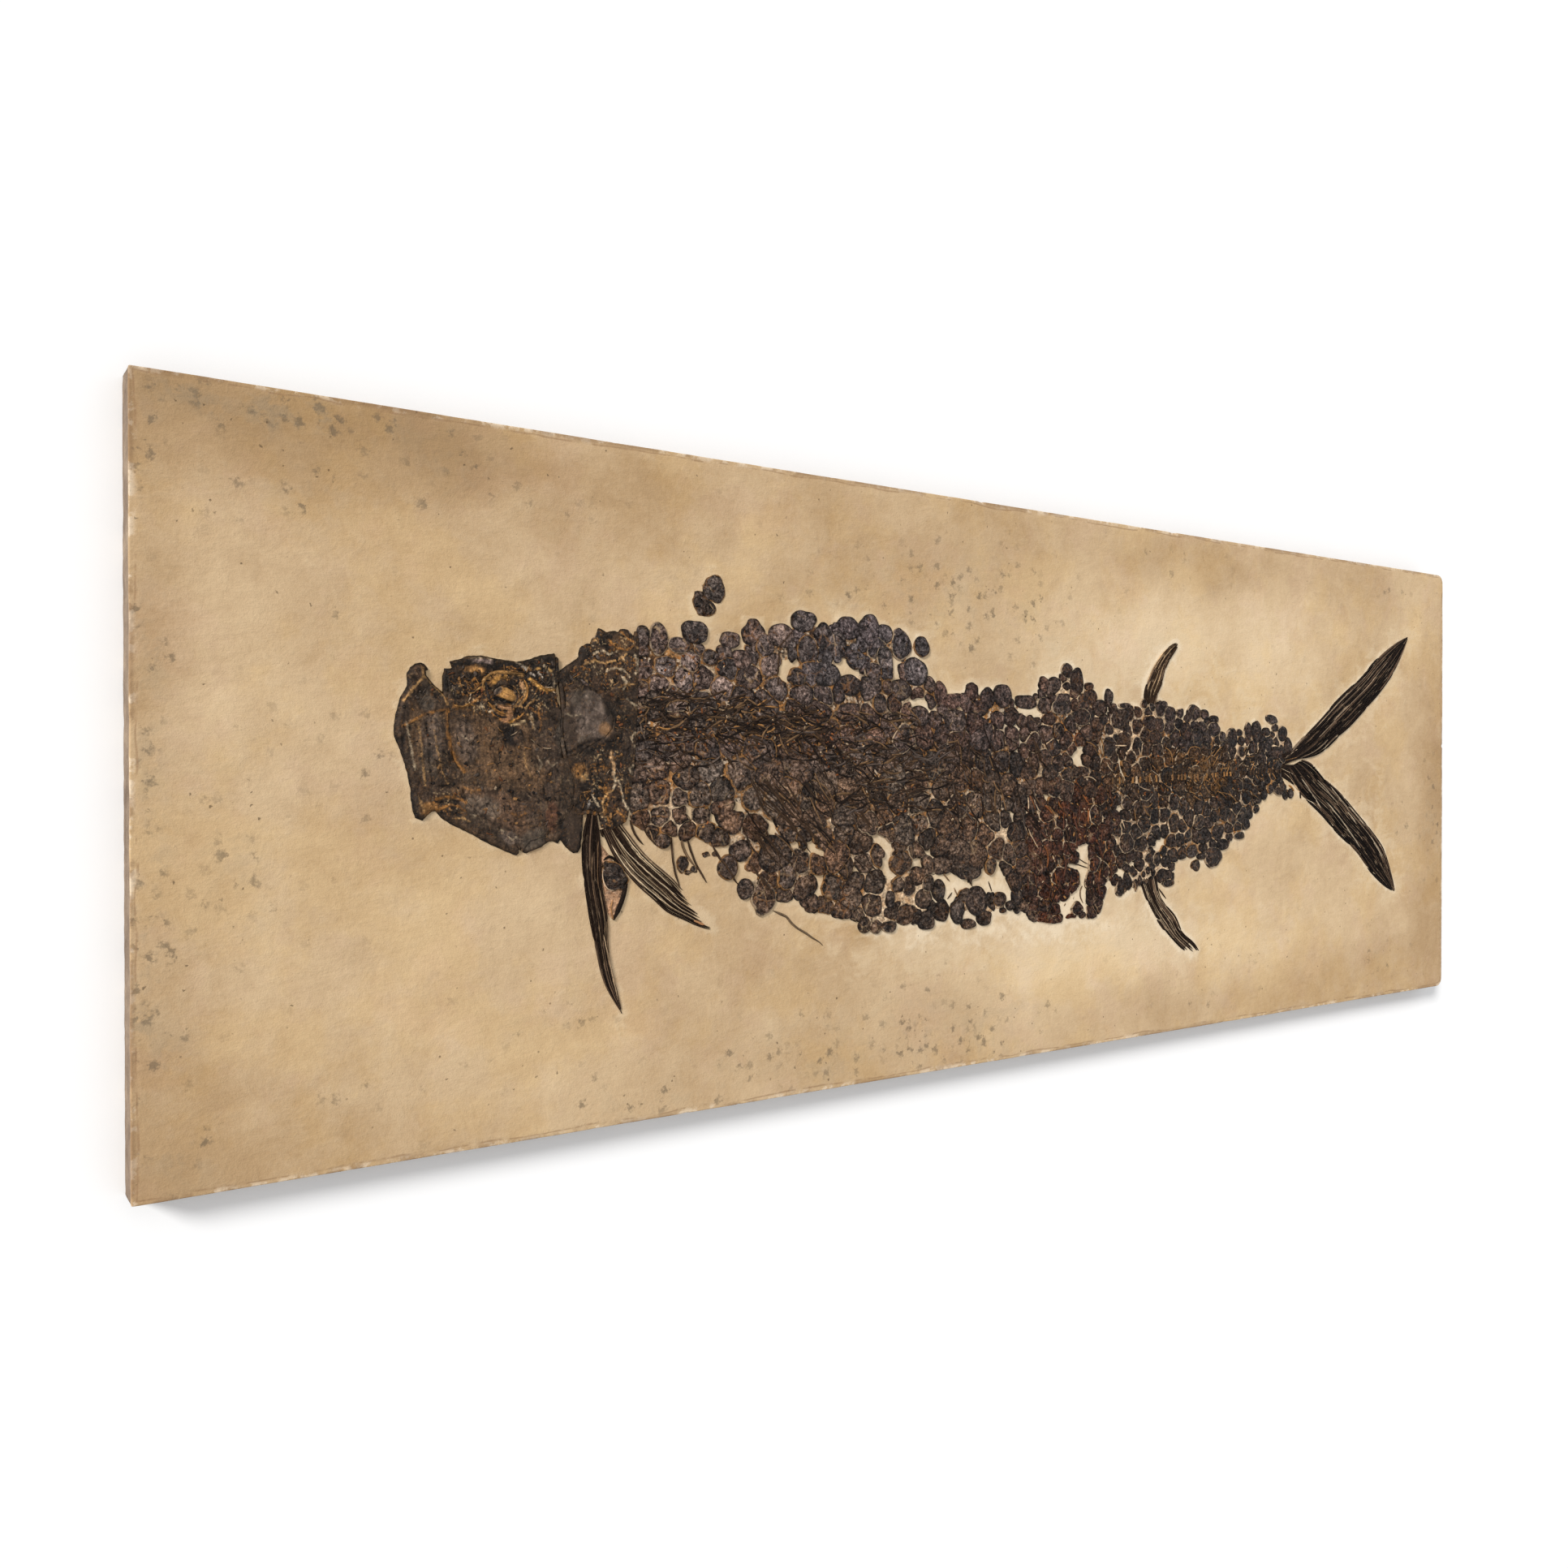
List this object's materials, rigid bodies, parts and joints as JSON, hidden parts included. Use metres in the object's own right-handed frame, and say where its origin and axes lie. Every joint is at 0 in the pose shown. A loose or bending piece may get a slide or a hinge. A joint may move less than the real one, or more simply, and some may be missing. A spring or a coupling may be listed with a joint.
{
  "type": "fossil fish slab",
  "caption": "Long flat chalk panel carrying a complete fossil fish in low relief: head bones, scale-covered body, paired and median fins and a forked tail. Lies on its back or hangs on a wall.",
  "frame": {"origin": "centre of the panel's flat back, which lies on the floor", "axes": "+X along the panel towards the fish's tail, +Y from the belly to the back of the fish, +Z out of the fossil face"},
  "size_m": [2.2, 0.762, 0.0483],
  "materials": {
    "chalk_matrix": "matt, brushed, pale tan chalk with cream halo round the fish",
    "dark_bone": "satin, dark brown mineralised bone, crushed and cracked",
    "grey_bone": "smooth satin, grey-brown bone plate",
    "dark_scale": "satin, brown-black scales with ochre and cream seams",
    "fin_ray": "satin, dark brown rays with pale lines between",
    "ochre_bone": "matt, ochre-stained bone"
  },
  "bodies": {
    "root": {"matrix_slab": "chalk_matrix", "lower_jaw": "dark_bone", "skull_roof": "dark_bone", "eye_ring": "ochre_bone", "cheek_bones": "dark_bone", "operculum": "grey_bone", "gular_plates": "grey_bone", "shoulder_girdle": "dark_bone", "scale_coat": "dark_scale", "neural_spines": "dark_bone", "vertebral_column": "ochre_bone", "dorsal_fin": "fin_ray", "anal_fin": "fin_ray", "pectoral_fin_front": "fin_ray", "pectoral_fin_rear": "fin_ray", "caudal_lobe_upper": "fin_ray", "caudal_lobe_lower": "fin_ray", "loose_scale_upper": "dark_scale", "loose_scale_lower": "dark_scale", "loose_scale_rear": "dark_scale", "loose_rib": "fin_ray"}
  },
  "joints": []
}
